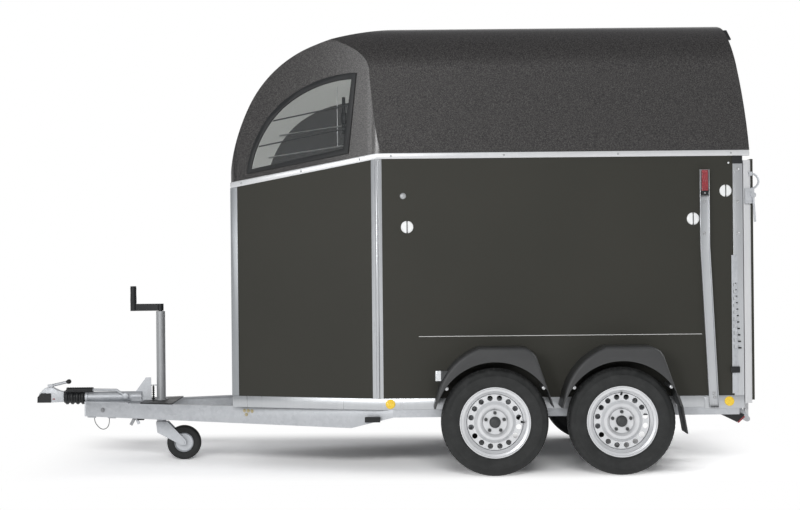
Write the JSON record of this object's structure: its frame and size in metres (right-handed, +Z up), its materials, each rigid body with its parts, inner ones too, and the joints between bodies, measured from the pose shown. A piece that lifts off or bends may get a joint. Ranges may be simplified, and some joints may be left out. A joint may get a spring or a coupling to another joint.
{
  "type": "horse trailer",
  "caption": "Two-horse trailer: V-shaped front, moulded hood with bow windows, rear loading ramp, twin axles, overrun coupling and jockey wheel",
  "frame": {"origin": "on the ground, in the middle of the overall length and width", "axes": "+X towards the ramp, -X towards the coupling, +Y the right-hand side with the small door, +Z up"},
  "size_m": [4.488, 2.186, 2.714],
  "materials": {
    "galvanised": "hot-dip galvanised steel, faint spangle",
    "aluminium": "anodised aluminium section",
    "wall_board": "coated wall board, fine satin grain",
    "hood_shell": "moulded shell in dark metallic gel coat",
    "black_plastic": "moulded black plastic",
    "window_glass": "tinted clear plastic pane",
    "red_lens": "moulded lens",
    "amber_lens": "moulded reflector",
    "clear_lens": "moulded lens",
    "white_plastic": "moulded cap",
    "curtain_fabric": "coated curtain cloth",
    "floor_board": "rubber-covered board",
    "padding": "padded board",
    "ramp_rubber": "cleated rubber",
    "tyre_rubber": "tyre rubber",
    "wheel_paint": "silver paint",
    "drum_metal": "coated cast drum"
  },
  "bodies": {
    "trailer": {"drawbar_rails": "galvanised", "chassis_rails": "galvanised", "cross_members": "galvanised", "axle_tubes": "galvanised", "axle_arms": "galvanised", "mudguards": "black_plastic", "sill_frame": "aluminium", "floor_panel": "floor_board", "side_panels": "wall_board", "cheek_panels": "wall_board", "front_panel": "wall_board", "wall_posts": "aluminium", "roof_trim": "aluminium", "hood": "hood_shell", "window_frames": "black_plastic", "window_panes": "window_glass", "window_bars": "aluminium", "curtain_roll": "curtain_fabric", "door_hinge_plates": "galvanised", "partition": "padding", "stall_bars": "galvanised", "wall_caps": "white_plastic", "ramp_hinges": "galvanised", "side_channels": "aluminium", "slotted_strips": "galvanised", "side_reflectors": "amber_lens", "lamp_carriers": "black_plastic", "red_lamps": "red_lens", "marker_lamps": "clear_lens", "overrun_housing": "galvanised", "coupling_head": "galvanised", "bellows": "black_plastic", "coupling_handle": "galvanised", "handbrake_lever": "galvanised", "jockey_tube": "galvanised", "jockey_crank": "black_plastic", "nose_cap": "black_plastic", "brake_cable": "black_plastic"},
    "wheel_front_left": {"tyre_front_left": "tyre_rubber", "rim_front_left": "wheel_paint", "hub_front_left": "drum_metal"},
    "wheel_front_right": {"tyre_front_right": "tyre_rubber", "rim_front_right": "wheel_paint", "hub_front_right": "drum_metal"},
    "wheel_rear_left": {"tyre_rear_left": "tyre_rubber", "rim_rear_left": "wheel_paint", "hub_rear_left": "drum_metal"},
    "wheel_rear_right": {"tyre_rear_right": "tyre_rubber", "rim_rear_right": "wheel_paint", "hub_rear_right": "drum_metal"},
    "jockey_leg": {"jockey_leg": "galvanised"},
    "jockey_fork": {"jockey_fork": "galvanised"},
    "jockey_wheel": {"jockey_rim": "galvanised", "jockey_tyre": "tyre_rubber"},
    "ramp": {"ramp_frame": "aluminium", "ramp_board": "wall_board", "ramp_mat": "ramp_rubber", "ramp_latches": "galvanised"},
    "door": {"front_door": "wall_board", "door_fittings": "galvanised"}
  },
  "joints": [
    {"name": "wheel_front_left_turn", "type": "hinge", "parent": "trailer", "child": "wheel_front_left", "pos_m": [0.65, -0.9725, 0.317], "axis": [0, 1, 0], "continuous": true},
    {"name": "wheel_front_right_turn", "type": "hinge", "parent": "trailer", "child": "wheel_front_right", "pos_m": [0.65, 0.9725, 0.317], "axis": [0, 1, 0], "continuous": true},
    {"name": "wheel_rear_left_turn", "type": "hinge", "parent": "trailer", "child": "wheel_rear_left", "pos_m": [1.393, -0.9725, 0.317], "axis": [0, 1, 0], "continuous": true},
    {"name": "wheel_rear_right_turn", "type": "hinge", "parent": "trailer", "child": "wheel_rear_right", "pos_m": [1.393, 0.9725, 0.317], "axis": [0, 1, 0], "continuous": true},
    {"name": "jockey_slide", "type": "slide", "parent": "trailer", "child": "jockey_leg", "axis": [0, 0, 1], "range_m": [-0.15, 0.05]},
    {"name": "jockey_swivel", "type": "hinge", "parent": "jockey_leg", "child": "jockey_fork", "pos_m": [-1.45, 0, 0.25], "axis": [0, 0, 1], "continuous": true},
    {"name": "jockey_wheel_turn", "type": "hinge", "parent": "jockey_fork", "child": "jockey_wheel", "pos_m": [-1.305, 0, 0.11], "axis": [0, 1, 0], "continuous": true},
    {"name": "ramp_fold", "type": "hinge", "parent": "trailer", "child": "ramp", "pos_m": [2.186, 0, 0.295], "axis": [0, 1, 0], "range_deg": [0, 100]},
    {"name": "door_swing", "type": "hinge", "parent": "trailer", "child": "door", "pos_m": [-0.87442, 0.56855, 1.1], "axis": [0, 0, 1], "range_deg": [0, 120]}
  ]
}
